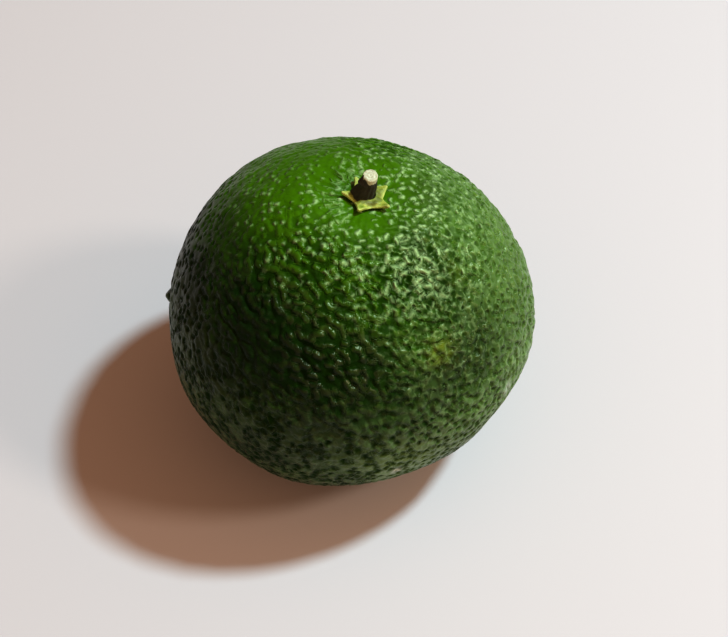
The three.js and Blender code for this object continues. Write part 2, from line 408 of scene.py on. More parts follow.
def spots(tree, label, inner, outer):
    """1 at the nearest of the labelled places and 0 past its edge, sharper than the mesh can be."""
    inputs = {0: wavy_place(tree, EDGE_WAVE, EDGE_REACH), 1: attribute(tree, label, "Vector")}
    away = vector_node(tree, "DISTANCE", inputs, "Value")
    away = math_node(tree, "DIVIDE", away, MM)
    away = math_node(tree, "DIVIDE", away, attribute(tree, label + "_width"))
    rough_away = math_node(tree, "SUBTRACT", attribute(tree, label + "_away"), MESH_MARGIN)
    return remap(tree, larger(tree, away, rough_away), inner, outer, 1, 0, "SMOOTHSTEP")


def off_the_net(tree):
    """How far each place is from the net's winding lines: 0 on a line, and 1 at the edge of its band."""
    from_line = math_node(tree, "SUBTRACT", noise(tree, NET_SIZE, detail=1), 0.5)
    return math_node(tree, "DIVIDE", math_node(tree, "ABSOLUTE", from_line), NET_BAND)


def rind_ground(tree):
    """The rind's ground colour, from deep to vivid green and on to olive, by a tone that is mostly painted
    light and shade.
    """
    mottle = patches(tree, MOTTLE_SIZE, 0.2, -MOTTLE, MOTTLE)
    colour = mix(tree, math_node(tree, "ADD", attribute(tree, "tone_and_painted_light"), mottle), RIND_SHADED_GREEN, RIND_VIVID)
    return mix(tree, attribute(tree, "olive"), colour, RIND_OLIVE)


def beads_and_painted_highlights(tree, bead, off):
    """The palest marks: broken lines of the net, which are painted highlights, and beads, pale glands with
    painted glints, of which the thin ones are faint.
    """
    whole = patches(tree, BREAK_SIZE, BREAK_SOFTNESS, 0, 1, detail=1)
    broken = product(tree, whole, attribute(tree, "highlight_lines"))
    lines = product(tree, remap(tree, off, *LINE_EDGE, 1, 0), broken)
    bold = remap(tree, attribute(tree, "bead_width"), *FAINT_BEADS, FAINTNESS, 1)
    return larger(tree, lines, product(tree, product(tree, bold, bead), attribute(tree, "beaded")))


def rind_colour(tree, bead, off, low, valley_shade, deep):
    """The ground with painted shade in its lows and valleys, pale skin, painted highlights on lines and
    beads, dark pits that are partly painted shade, yellow patches and corky scars.
    """
    colour = mix(tree, low, rind_ground(tree), RIND_PIT)
    colour = mix(tree, valley_shade, colour, RIND_PIT)
    between = remap(tree, spots(tree, "gland", *PALE_EDGE), 0, 1, 1, 0)
    colour = mix(tree, product(tree, between, attribute(tree, "pale")), colour, RIND_PALE)
    colour = mix(tree, beads_and_painted_highlights(tree, bead, off), colour, RIND_BEAD_AND_HIGHLIGHT)
    colour = mix(tree, deep, colour, RIND_PIT)
    colour = mix(tree, attribute(tree, "yellow"), colour, RIND_YELLOW)
    cork = mix(tree, noise(tree, CORK_SIZE), CORK_DARK, CORK_PALE)
    return mix(tree, attribute(tree, "cork"), colour, cork)


def set_rind_gloss(tree, shader, sheltered):
    """A waxy gloss on open skin, and hardly any in the pits and valleys."""
    shader.inputs["Specular IOR Level"].default_value = RIND_SPECULAR
    waxy = patches(tree, WAX_SIZE, 0.2, *WAXY_ROUGHNESS)
    dull = remap(tree, sheltered, *DULLING, WAXY_ROUGHNESS[0], SHELTERED_ROUGHNESS)
    tree.links.new(larger(tree, waxy, dull), shader.inputs["Roughness"])
    gloss = product(tree, remap(tree, sheltered, *UNGLOSSING, 1, LEAST_GLOSS), attribute(tree, "gloss"))
    tree.links.new(mix(tree, gloss, (0, 0, 0), GLOSS_TINT), shader.inputs["Specular Tint"])


def set_rind_bump(tree, shader, pit, bead, pebble, off):
    """The finest relief: grain, pebbles, beads, the ridges of the net and the glands' pits."""
    slope = math_node(tree, "SQRT", math_node(tree, "ADD", math_node(tree, "POWER", off, 2), NET_ROUNDING))
    net = math_node(tree, "SUBTRACT", 1, slope)
    height = product(tree, noise(tree, GRAIN_SIZE, detail=1), GRAIN_HEIGHT)
    for form, label in ((pebble, "pebble_height"), (bead, "bead_height"), (net, "net")):
        height = math_node(tree, "ADD", height, product(tree, form, attribute(tree, label)))
    sunk = product(tree, pit, attribute(tree, "sunk"))
    set_bump(tree, shader, math_node(tree, "SUBTRACT", height, sunk), 1)


def rind_material():
    """Waxy rind: painted deep green on its shaded side and lighter towards the light, with dark glands and
    pale skin between them lower down.
    """
    material, tree, shader = new_material("rind")
    pit = spots(tree, "gland", *PIT_EDGE)
    bead = spots(tree, "bead", *BEAD_EDGE)
    pebble = spots(tree, "pebble", *PEBBLE_EDGE)
    off = off_the_net(tree)
    # Painted shade in the lows between the net's lines.
    low = product(tree, remap(tree, off, *LOW_EDGE, 0, 1), attribute(tree, "net_low_shade"))
    # Painted shade in the valleys between pebbles.
    valley_shade = product(tree, remap(tree, pebble, *VALLEY_EDGE, 1, 0), attribute(tree, "valley_shade"))
    varied = product(tree, pit, patches(tree, PIT_PATCH_SIZE, 0.1, PIT_LEAST, 1, detail=1))
    # Dark pits: partly their own colour, partly painted shade.
    deep = product(tree, varied, attribute(tree, "dark"))
    tree.links.new(rind_colour(tree, bead, off, low, valley_shade, deep), shader.inputs["Base Color"])
    set_rind_gloss(tree, shader, larger(tree, larger(tree, low, valley_shade), deep))
    set_rind_bump(tree, shader, pit, bead, pebble, off)
    return material


def calyx_material():
    """Dry yellow-green sepal tissue, olive near the stalk and paler along the rims."""
    material, tree, shader = new_material("calyx")
    mottle = patches(tree, SEPAL_PATCH_SIZE, 0.15, 0, 1)
    colour = mix(tree, mottle, SEPAL_GREEN, SEPAL_YELLOW)
    colour = mix(tree, attribute(tree, "rim"), colour, SEPAL_RIM)
    colour = mix(tree, attribute(tree, "heart"), colour, SEPAL_HEART)
    tree.links.new(colour, shader.inputs["Base Color"])
    shader.inputs["Roughness"].default_value = CALYX_ROUGHNESS
    set_bump(tree, shader, noise(tree, SEPAL_GRAIN_SIZE), SEPAL_GRAIN_HEIGHT)
    return material


def stalk_material():
    """Olive-brown bark up to a pale collar, and a cream cut end with faint rings."""
    material, tree, shader = new_material("stalk")
    bark = mix(tree, noise(tree, BARK_PATCH_SIZE), BARK_DARK, BARK_PALE)
    colour = mix(tree, attribute(tree, "collar"), bark, COLLAR)
    wood = mix(tree, attribute(tree, "ring"), WOOD_PALE, WOOD_DARK)
    colour = mix(tree, attribute(tree, "cut"), colour, wood)
    tree.links.new(colour, shader.inputs["Base Color"])
    shader.inputs["Roughness"].default_value = STALK_ROUGHNESS
    set_bump(tree, shader, noise(tree, BARK_GRAIN_SIZE), BARK_GRAIN_HEIGHT)
    return material


# ---- The rind ----------------------------------------------------------------------------------------

RIND_FREQUENCY = 98
CROWD_TOWARDS = 0.33 * direction(-88, 48)

# Glands, pebbles, beads and creases. Spacings, lengths and half-widths are in millimetres.
FORM_MARGIN = 0.8  # how far past its edge a form may still be the nearest one
FAR_AWAY = 9.0  # where no form is near, in half-widths
NO_LENGTH = 1e-9
GLAND_SPACING = 1.15
GLAND_WIDTHS, GLAND_WIDENING, GLAND_STRENGTHS = (0.45, 0.85), 0.15, (0.5, 1)
GLAND_SLANT, GLAND_SLANT_SPREAD, GLAND_LENGTHS = 1.3, 0.5, (0, 0.7)  # slants are in radians
GLANDS_MISSING = 0.3  # the share of them that is missing low down
LINK_LENGTH, LINK_CHANCE, LINK_STRAIGHTNESS = 2.1, 0.06, 0.8
LINK_LEAST, LINK_MOST = (0.34, 0.6), (0.55, 1)  # half-width and strength
SKIN_SLANT = math.radians(25)
PEBBLE_SPACING = 1.25
PEBBLE_WIDTHS, PEBBLE_STRENGTHS = (0.55, 0.95), (0.5, 1)
PEBBLE_SLANT_SPREAD, PEBBLE_LENGTHS = 0.45, (0.1, 1.3)
BEAD_SPACING, BEADS_END = 1.05, 62  # they end at this polar angle
BEAD_SHARE, OUTER_LOSS, BARE_LOSS = 0.95, 0.5, 0.85
BEAD_SIZES, BEAD_WIDTH, BEAD_WIDENING = (0.1, 1), 0.26, 0.3
BEAD_LENGTH, RIDGE_LENGTH = 0.6, 1.1
CREASES = range(118, 250, 12)  # their azimuths
CREASE_WANDER, CREASE_STRENGTH, CREASE_WIDTHS = 3, 0.6, (0.34, 0.44)
CREASE_LEAST, CREASE_MOST = (4.5, 6), (5.6, 7.6)  # how far from the stalk's axis each starts and ends

# Heights of the relief in the mesh, in millimetres, then of the finer relief in the material.
LEAST_GLAND_DEPTH, GLAND_DEPTH = 0.02, 0.22
PEBBLE_HEIGHT, PEBBLE_LEVEL = 0.3, 0.4
BEAD_HEIGHT = 0.1
RIPPLE_HEIGHT, RIPPLE_SIZE = 0.06, 4.5
WORM_HEIGHT, WORM_SIZE, WORM_ROUNDING, WORM_LEVEL = 0.34, 3.2, 0.2, 0.6
PUCKER_HEIGHT, PUCKER_RADIUS, PUCKER_RUN = 0.14, 5.4, 0.12
FINE_GLAND_DEPTH, FINE_PEBBLE_HEIGHT, FINE_BEAD_HEIGHT, FINE_NET_HEIGHT = 0.2, 0.14, 0.18, 0.3

# How strong the material's marks are, painted shade and painted highlights among them.
VALLEY_SHADE_STRENGTH, PIT_DARKNESS, HOLE_DARKNESS, FRONT_PIT_SHADE = 0.7, 0.2, 0.15, 0.5
BEAD_PALENESS_AND_HIGHLIGHT, RIDGE_HIGHLIGHT, NET_HIGHLIGHT, SKIN_PALENESS = 0.88, 0.32, 0.28, 0.27
LOWER_PALENESS = 1.5  # how much more the skin between the glands shows low down, partly painted light from the floor
RIDGED_NET, LIT_SIDE_NET, LOWER_NET = 0.6, 0.2, 0.35  # shares of the net's height
RIDGED_LOW_SHADE, LOWER_LOW_SHADE = 0.95, 0.35  # how dark the painted shade in the lows between its lines is
# Olive: partly the rind's own colour, partly painted sheen on the right and painted light from the floor
# low down.
LOWER_OLIVE, RIGHT_OLIVE = 0.6, 0.5
TONE_SIZE, TONE_VARIATION, PAINTED_LIGHT_TONE = 14, 0.08, 0.5
YELLOW_SIZE, YELLOW_LEVEL, YELLOW_VARIATION = 1.6, 0.8, 0.3
CORK_PATCH_SIZE, CORK_VARIATION = 1, 0.35

# Polar angles over which each kind of rind comes in or goes out.
LINKS_COME, LINKS_GO = (26, 38), (62, 80)
LONG_GLANDS_COME = (50, 78)
SHORT_BEADS_COME, SPARSE_BEADS_COME = (15, 24), (20, 34)
PITS_COME, PITS_GO = (16, 42), (150, 168)
MIDDLE_COMES, MIDDLE_GOES = (24, 40), (80, 100)
LOWER_COMES = (58, 86)
LEFT_COMES = (40, 60)
NET_COMES = (18, 25)
PEBBLES_COME = (13, 28)
BEADS_GO = (34, 55)
GLOSS_COMES = (14, 22)
PUCKER_COMES, PUCKER_GOES = (3.5, 5), (7, 11)  # in millimetres from the stalk's axis

# The same by how far a unit vector points to the left, to the right, to the front or to a side.
LEFT_SIDE, RIGHT_SIDE, FAR_RIGHT = (0.55, 0.85), (0, 0.35), (0.55, 0.8)
ROUND_GLANDS_COME, LEVEL_PEBBLES_COME = (0.1, 0.5), (-0.1, 0.5)
OLIVE_COMES = (0.1, 0.9)
FRONT_COMES = (-0.3, 0.3)
PAINTED_LIGHT_COMES, GLOSS_SIDE_COMES, QUIET_COMES = (-0.4, 0.5), (-0.75, 0.3), (0.6, 0.92)
PUCKER_SIDE_COMES, PUCKER_AZIMUTH = (-0.2, 0.8), math.radians(190)

PAINTED_LIGHT_SIDE = direction(41, 53)  # painted light: the side towards the light, where the rind is painted palest
GLOSSY_SIDE = direction(-20, 60)
QUIET_SIDE = direction(150, 50)  # where it is smoothest
WORM_GRAIN = direction(-35, 120)

# Places on the rind, each as in bells().
BARE_SPOT = [(-80, 11, 2.6, 1)]  # smooth skin in front of the calyx
# Where short ridges are painted pale as highlights.
RIDGED_SPOT = [(-61, 33.5, 9.5, 1)]
# Where beads are painted pale as glints.
DOTTED_SPOT = [(-64, 54, 7, 0.75)]
DIM_SPOT = [(-128, 64, 8, 1)]  # less pebbly and less glossy
PLAIN_SPOT = [(138, 32, 9, 0.95)]  # where beads aren't pale
YELLOW_PATCHES = [(-60, 58, 2.2, 0.6), (-38, 39, 1.7, 0.25)]
CORK_SCARS = [(-32, 87, 1.1, 0.8), (-73, 103, 0.9, 1), (-45, 104, 0.4, 0.8), (0, 180, 1.4, 1)]
DENTS = [
    (-17, 79, 0.9, 0.45),
    (-75, 72, 1.1, 0.35),
    (-95, 80, 1.1, 0.35),
    (-83, 75, 0.9, 0.3),
    (-66, 74, 0.8, 0.3),
]
PAINTED_SHADES = [  # painted shade: patches of deeper green
    (-40, 56, 7, 0.3),
    (-76, 68, 5, 0.4),
    (-124, 60, 10, 0.85),
    (-55, 36, 8, 0.6),
    (-42, 64, 9, 0.35),
    (-15, 68, 8, 0.3),
    (-48, 70, 6, 0.3),
    (-60, 67, 4, 0.2),
    (-106, 62, 6, 0.35),
    (-59, 61, 3.5, 0.35),
    (-76, 76, 6, 0.35),
    (-98, 72, 6, 0.4),
    (10, 20, 4, 0.3),
    (-45, 22, 5, 0.3),
]
PAINTED_LIGHT_SPOTS = [  # painted light: spots of more vivid green
    (-72, 100, 8, 0.9),
    (150, 32, 9, 0.3),
    (-88, 36, 6, 0.2),
    (-158, 50, 6, 0.25),
    (-25, 42, 6, 0.2),
    (-135, 33, 6, 0.25),
    (178, 33, 8, 0.4),
]


def slanting_ways(towards, slant):
    """Unit vectors along the skin that dip from the east towards the blossom end by the slant."""
    azimuth, _ = angles_of(towards)
    east = np.stack([-np.sin(azimuth), np.cos(azimuth), 0 * azimuth], axis=1)
    south = np.cross(east, towards)
    return east * np.cos(slant)[:, None] + south * np.sin(slant)[:, None]


class Forms:
    """Pits, pebbles or beads on the skin: how strong they are at each point, and where the nearest is."""

    def __init__(self, smooth):
        self.smooth = smooth
        self.within = near(smooth)
        self.strength = np.zeros(len(smooth))
        self.away = np.full(len(smooth), FAR_AWAY)
        self.place = smooth.copy()
        self.width = np.ones(len(smooth))

    def add(self, start, end, width, strength):
        """A form drawn out from start to end, or a round one where they are the same."""
        found = self.within((start + end) / 2, width + FORM_MARGIN + np.linalg.norm(end - start) / 2)
        way = end - start
        share = np.clip((self.smooth[found] - start) @ way / max(way @ way, NO_LENGTH), 0, 1)
        place = start + share[:, None] * way
        away = np.linalg.norm(self.smooth[found] - place, axis=1) / width
        here = strength * (1 - np.clip(away, 0, 1) ** 2) ** 2
        self.strength[found] = np.maximum(self.strength[found], here)
        nearer = away < self.away[found]
        found = found[nearer]
        self.away[found] = away[nearer]
        self.place[found] = place[nearer]
        self.width[found] = width

    def add_all(self, centres, ways, widths, strengths):
        """A form round each centre, drawn out along its way."""
        for centre, way, width, strength in zip(centres, ways, widths, strengths):
            self.add(centre - way / 2, centre + way / 2, width, strength)


def gland_links(centres, towards, seed):
    """Pairs of neighbouring glands whose pits run together, along slanting lines round the middle."""
    rng = np.random.default_rng(seed)
    polar = polar_degrees(towards)
    along = slanting_ways(towards, np.full(len(towards), SKIN_SLANT))
    chance = LINK_CHANCE * smooth_step(*LINKS_COME, polar) * less(0.8, smooth_step(*LINKS_GO, polar))
    within = near(centres)
    pairs = []
    for index, centre in enumerate(centres):
        for other in within(centre, LINK_LENGTH):
            if other <= index:
                continue
            way = centres[other] - centre
            straight = abs(way @ along[index]) > LINK_STRAIGHTNESS * np.linalg.norm(way)
            if straight and rng.random() < chance[index]:
                pairs.append((index, other))
    return pairs


def glands(smooth):
    """The rind's oil glands as pits, some of them joined by furrows."""
    rng = np.random.default_rng(7)
    towards = scatter(GLAND_SPACING, 3)
    count = len(towards)
    centres = skin_point(towards)
    low = smooth_step(*LONG_GLANDS_COME, polar_degrees(towards))
    low *= less(0.8, smooth_step(*ROUND_GLANDS_COME, towards[:, 0]))
    widths = rng.uniform(*GLAND_WIDTHS, count) * (1 + GLAND_WIDENING * low)
    strengths = rng.uniform(*GLAND_STRENGTHS, count)
    ways = slanting_ways(towards, rng.normal(GLAND_SLANT, GLAND_SLANT_SPREAD, count))
    ways *= (low * rng.uniform(*GLAND_LENGTHS, count))[:, None]
    kept = rng.random(count) > GLANDS_MISSING * low
    pits = Forms(smooth)
    pits.add_all(centres[kept], ways[kept], widths[kept], strengths[kept])
    for first, second in gland_links(centres, towards, 5):
        pits.add(centres[first], centres[second], *rng.uniform(LINK_LEAST, LINK_MOST))
    return pits


def pebbles(smooth):
    """Low pebbles that stand close together, mostly drawn out along slanting lines."""
    rng = np.random.default_rng(9)
    towards = scatter(PEBBLE_SPACING, 13)
    count = len(towards)
    slant = SKIN_SLANT * less(0.8, smooth_step(*LEVEL_PEBBLES_COME, -towards[:, 0]))
    ways = slanting_ways(towards, rng.normal(slant, PEBBLE_SLANT_SPREAD))
    ways *= rng.uniform(*PEBBLE_LENGTHS, count)[:, None]
    widths = rng.uniform(*PEBBLE_WIDTHS, count)
    raised = Forms(smooth)
    raised.add_all(skin_point(towards), ways, widths, rng.uniform(*PEBBLE_STRENGTHS, count))
    return raised


def ridged(towards):
    """How far the rind is covered in short ridges, as it is high on its front where the highlight falls;
    they are painted pale as highlights.
    """
    return bells(towards, RIDGED_SPOT) * (1 - bells(towards, BARE_SPOT))


def bead_places(rng):
    """Unit vectors to the beads: fewer away from the stalk and the ridges, and none on the bare spot."""
    towards = scatter(BEAD_SPACING, 11)
    towards = towards[polar_degrees(towards) < BEADS_END]
    outer = smooth_step(*SPARSE_BEADS_COME, polar_degrees(towards)) * (1 - ridged(towards))
    wanted = BEAD_SHARE - OUTER_LOSS * outer - BARE_LOSS * bells(towards, BARE_SPOT)
    return towards[rng.random(len(towards)) < wanted]


def beads(smooth):
    """Beads round the stalk, drawn out into ridges on the front, and fine creases out of the hollow."""
    rng = np.random.default_rng(8)
    towards = bead_places(rng)
    count = len(towards)
    ridge = ridged(towards)
    short = smooth_step(*SHORT_BEADS_COME, polar_degrees(towards))
    reach = BEAD_LENGTH * less(0.5, short) + RIDGE_LENGTH * ridge
    centres = skin_point(towards)
    sizes = rng.uniform(*BEAD_SIZES, count) ** less(0.6, ridge)
    ways = np.cross(centres, rng.normal(size=(count, 3)))
    ways *= (reach * rng.random(count) / np.linalg.norm(ways, axis=1))[:, None]
    raised = Forms(smooth)
    raised.add_all(centres, ways, BEAD_WIDTH + BEAD_WIDENING * sizes, sizes)
    for crease in CREASES:
        azimuth = crease + rng.uniform(-CREASE_WANDER, CREASE_WANDER)
        polar = np.degrees(rng.uniform(CREASE_LEAST, CREASE_MOST) / STALK_END_HEIGHT)
        start, end = skin_point(direction(azimuth, polar))
        raised.add(start, end, rng.uniform(*CREASE_WIDTHS), CREASE_STRENGTH)
    return raised


class Zones:
    """How far each kind of rind shows at each point of the skin, mostly from 0 to 1."""

    def __init__(self, towards):
        polar = polar_degrees(towards)
        x, y = towards[:, 0], towards[:, 1]

        # Parts of the fruit.
        self.middle = smooth_step(*MIDDLE_COMES, polar) * (1 - smooth_step(*MIDDLE_GOES, polar))
        self.lower = smooth_step(*LOWER_COMES, polar)
        self.left = smooth_step(*LEFT_SIDE, -x) * smooth_step(*LEFT_COMES, polar)
        self.front = smooth_step(*FRONT_COMES, -y)
        right = smooth_step(*RIGHT_SIDE, x)

        # Painted light and shade, and how smooth it is.
        self.painted_light_side = smooth_step(*PAINTED_LIGHT_COMES, towards @ PAINTED_LIGHT_SIDE)
        # Painted shade in the shaded spots, and painted light in the light spots.
        self.lit = 1 - bells(towards, PAINTED_SHADES)
        self.painted_light = bells(towards, PAINTED_LIGHT_SPOTS)
        self.quiet = less(0.8, smooth_step(*QUIET_COMES, towards @ QUIET_SIDE))
        self.calm = less(0.5, smooth_step(*FAR_RIGHT, x) * (1 - self.lower))
        self.covered = 1 - bells(towards, BARE_SPOT)
        dim = bells(towards, DIM_SPOT)

        # What it is covered in.
        self.pitted = smooth_step(*PITS_COME, polar) * less(0.5, smooth_step(*PITS_GO, polar))
        self.netted = np.maximum(self.lower, right * smooth_step(*NET_COMES, polar))
        self.holed = np.maximum(self.netted, self.left)
        self.ridged = ridged(towards)
        near_stalk = 1 - smooth_step(*BEADS_GO, polar)
        self.beaded = np.maximum(np.maximum(near_stalk, self.ridged), bells(towards, DOTTED_SPOT))
        self.pebbly = smooth_step(*PEBBLES_COME, polar) * self.quiet * self.covered * less(0.6, dim)
        self.pebbly *= less(0.5, right) * less(0.6, self.lower) * less(0.75, self.left)
        self.glossy = self.quiet * less(0.8, dim) * smooth_step(*GLOSS_SIDE_COMES, towards @ GLOSSY_SIDE)
        self.glossy *= less(0.6, self.lower) * at_least(0.35, smooth_step(*GLOSS_COMES, polar))


def pucker(towards):
    """Fine folds that run out of the stalk's hollow, strongest on the left."""
    azimuth, polar = angles_of(towards)
    out = polar * STALK_END_HEIGHT
    circle = [np.cos(azimuth) * PUCKER_RADIUS, np.sin(azimuth) * PUCKER_RADIUS, out * PUCKER_RUN]
    folds = random_field(np.stack(circle, axis=1), 1, seed=31)
    folds *= smooth_step(*PUCKER_COMES, out) * (1 - smooth_step(*PUCKER_GOES, out))
    return folds * at_least(0.35, smooth_step(*PUCKER_SIDE_COMES, np.cos(azimuth - PUCKER_AZIMUTH)))


def rind_height(towards, smooth, zones, forms):
    """How far the rind stands over the smooth skin."""
    gland_depth = GLAND_DEPTH * zones.pitted * less(0.7, zones.middle * (1 - zones.holed))
    height = -(LEAST_GLAND_DEPTH + gland_depth) * forms["gland"].strength
    height += PEBBLE_HEIGHT * zones.pebbly * (forms["pebble"].strength - PEBBLE_LEVEL)
    worms = random_field(smooth, WORM_SIZE, seed=22, grain=WORM_GRAIN)
    worms = np.minimum(np.sqrt(worms**2 + WORM_ROUNDING**2), 1) - WORM_LEVEL
    worms *= WORM_HEIGHT * zones.quiet * less(0.6, zones.left)
    ripple = RIPPLE_HEIGHT * random_field(smooth, RIPPLE_SIZE, seed=21)
    height += (ripple + worms) * at_least(0.15, zones.middle)
    height += BEAD_HEIGHT * forms["bead"].strength * zones.beaded
    height += PUCKER_HEIGHT * pucker(towards) * zones.covered
    return height - bells(towards, DENTS)


def rind_marks(towards, smooth, zones, forms):
    """What the rind's material reads at each point: the nearest form of each kind, heights and shares."""
    painted_light_side, netted, lower = zones.painted_light_side, zones.netted, zones.lower
    # Pits are a little darker everywhere, with painted shade on the front away from the light.
    pit_colour_and_shade = HOLE_DARKNESS + FRONT_PIT_SHADE * zones.front * less(0.65, painted_light_side)
    net_height = np.maximum(RIDGED_NET * zones.ridged, LIT_SIDE_NET * netted * painted_light_side)
    net_height = np.maximum(net_height, LOWER_NET * lower)
    # Painted highlights on the net's lines, stronger towards the light.
    net_highlight = NET_HIGHLIGHT * netted * at_least(0.2, painted_light_side) * zones.calm
    paleness = SKIN_PALENESS * (at_least(0.3, zones.calm) + LOWER_PALENESS * lower)
    paleness *= netted * (1 - zones.ridged)
    olive = LOWER_OLIVE * lower + RIGHT_OLIVE * smooth_step(*OLIVE_COMES, towards[:, 0])
    # Painted light and shade: the tone grows towards the light, with some tone that differs at random.
    tone_and_painted_light = painted_light_side + TONE_VARIATION * random_field(smooth, TONE_SIZE, seed=41)
    yellow = YELLOW_LEVEL + YELLOW_VARIATION * random_field(smooth, YELLOW_SIZE, seed=51)
    yellow *= bells(towards, YELLOW_PATCHES)
    cork = 1 + CORK_VARIATION * random_field(smooth, CORK_PATCH_SIZE, seed=52)
    cork *= bells(towards, CORK_SCARS)
    marks = {
        "sunk": FINE_GLAND_DEPTH * zones.pitted * at_least(0.3, zones.holed),
        "pebble_height": FINE_PEBBLE_HEIGHT * zones.pebbly,
        "bead_height": FINE_BEAD_HEIGHT * zones.beaded,
        "net": FINE_NET_HEIGHT * net_height,
        "net_low_shade": np.maximum(RIDGED_LOW_SHADE * zones.ridged, LOWER_LOW_SHADE * lower),
        "dark": zones.pitted * zones.calm * (PIT_DARKNESS + zones.holed * pit_colour_and_shade),
        # painted shade between pebbles
        "valley_shade": VALLEY_SHADE_STRENGTH * zones.pebbly * zones.calm,
        # beads painted pale, as glands and as glints, more towards the light
        "beaded": BEAD_PALENESS_AND_HIGHLIGHT * zones.beaded * at_least(0.3, painted_light_side) * (1 - bells(towards, PLAIN_SPOT)),
        "highlight_lines": np.maximum(RIDGE_HIGHLIGHT * zones.ridged, net_highlight),
        # pale skin, olive and tone: painted lighter towards the light and in the light spots, darker in
        # the shaded spots
        "pale": paleness * (at_least(0.25, painted_light_side) * zones.lit + zones.painted_light),
        "gloss": zones.glossy,
        "tone_and_painted_light": tone_and_painted_light * zones.lit + PAINTED_LIGHT_TONE * zones.painted_light,
        "olive": np.clip(olive, 0, 1) * (at_least(0.2, painted_light_side) * zones.lit + zones.painted_light),
        "yellow": np.clip(yellow, 0, 1),
        "cork": np.clip(cork, 0, 1),
    }
    for label, form in forms.items():
        marks[label] = form.place
        marks[label + "_away"] = form.away
        marks[label + "_width"] = form.width
    return marks


def add_rind():
    towards, triangles = geodesic_sphere(RIND_FREQUENCY, CROWD_TOWARDS)
    smooth = skin_point(towards)
    zones = Zones(towards)
    forms = {"gland": glands(smooth), "bead": beads(smooth), "pebble": pebbles(smooth)}
    height = rind_height(towards, smooth, zones, forms)
    points = smooth + normals_of(smooth, triangles) * height[:, None]
    marks = rind_marks(towards, smooth, zones, forms)
    mesh = add_piece("fruit", points, triangles.tolist(), marks, rind_material())
    for vertex in mesh.vertices:
        vertex.co.z = max(vertex.co.z, 0)


# ---- The calyx and the stalk -------------------------------------------------------------------------

HOLLOW_FLOOR = skin_point(direction(0, 0)[None])[0, 2]
CLEARANCE = 0.3

CALYX_TIPS = [(-37, 4.5), (35, 3.8), (119, 4.2), (181, 4.25), (250, 4.4)]  # azimuth and distance out
CALYX_NOTCH_RADIUS = 2.35
CALYX_ROUNDING = 4.5
CALYX_HOLE_RADIUS = 1.2
CALYX_THICKNESS, CALYX_THINNING = 0.62, 0.2
CALYX_UPTURN, CALYX_REACH = 0.35, 4
CALYX_HEART_HEIGHT, CALYX_HEART_WIDTH = 0.55, 0.9
CALYX_FOLD, CALYX_FOLD_COMES = 0.22, (0.1, 0.7)
CALYX_RIM_HEIGHT, CALYX_RIM_AT, CALYX_RIM_WIDTH = 0.07, 0.9, 0.12
CALYX_LUMP_HEIGHT, CALYX_LUMP_SIZE = 0.05, 1.1
CALYX_PALE_RIM, CALYX_DARK_HEART = (0.72, 1), (1.7, 2.6)
CALYX_PALENESS, CALYX_DARKNESS, CALYX_VARIATION = 0.8, 0.9, 0.15
CALYX_SECTORS = 240
CALYX_STATIONS = 26

STALK_BASE, STALK_HEIGHT = 0.5, 5.3  # over the floor of the hollow
STALK_RADIUS = 1.13
STALK_SLANT, STALK_SLANT_FROM = math.radians(12), 2.5
FOOT_WIDTH, FOOT_HEIGHT = 0.7, 0.9
SWELLING, SWELLING_RISE, SWELLING_SPREAD = 0.2, 2.4, 1.2
FOOT_SHIFT, FOOT_GOES = 0.5, (0.8, 4.4)
KNOB_AZIMUTH, KNOB_SPREAD, KNOB_SIZE = math.radians(195), 0.35, 0.5
KNOB_RISE, KNOB_HEIGHT = 4, 0.55
FLARE_AZIMUTH, FLARE_SPREAD, FLARE_SIZE = math.radians(155), 0.45, 0.8
FLARE_GOES = (0.8, 3.8)
BARK_DEPTH, BARK_SIZE, BARK_GOES = 0.05, 1.4, (4, 4.4)
BARK_ROUND, BARK_ALONG = 3, 0.35  # how closely its folds follow each other round the stalk and along it
COLLAR_EDGE, COLLAR_TILT, COLLAR_AZIMUTH = (4.85, 5.05), 0.4, math.radians(-50)
COLLAR_RAGGEDNESS, COLLAR_SIZE = 0.15, 1.5
CUT_BEVEL, CUT_INSET = 0.15, 0.12
CUT_GRAIN_HEIGHT, CUT_GRAIN_SIZE = 0.03, 0.7
RING_WAVE = 14  # how many radians the wave of the rings turns through in a millimetre
STALK_SECTORS = 96
STALK_STEPS = 60
STALK_CUT_STEPS = 14


def loops_to_faces(loops, length, closed):
    """Quads between each loop of points and the next, and round to the first loop if closed."""
    first = np.arange(loops if closed else loops - 1)[:, None] * length
    second = (first + length) % (loops * length)
    column = np.arange(length)[None]
    following = (column + 1) % length
    quads = np.stack([first + column, first + following, second + following, second + column], axis=-1)
    return quads.reshape(-1, 4).tolist()


def calyx_reach(azimuth):
    """How far the calyx reaches out in each direction: points with hollow sides, a little rounded.

    A straight run between powers of the radii is what hollows the sides.
    """
    tips, radii = np.array(CALYX_TIPS).T
    following = np.append(tips[1:], tips[0] + 360)
    notches = (tips + following) / 2
    corners = np.concatenate([tips, notches])
    radii = np.concatenate([radii, np.full(len(notches), CALYX_NOTCH_RADIUS)])
    turned = [np.degrees(azimuth) + offset for offset in np.linspace(-CALYX_ROUNDING, CALYX_ROUNDING, 9)]
    sharp = [np.interp(angle, corners, radii**-4.0, period=360) ** -0.25 for angle in turned]
    return np.mean(sharp, axis=0)


def calyx_lobe(azimuth):
    """Angles that grow by a whole turn from each tip of the calyx to the next, and by half to a notch."""
    tips = np.array([tip for tip, _ in CALYX_TIPS])
    starts, turns = np.append(tips, tips[0] + 360), np.arange(len(tips) + 1) * TURN
    return np.interp((np.degrees(azimuth) - tips[0]) % 360 + tips[0], starts, turns)


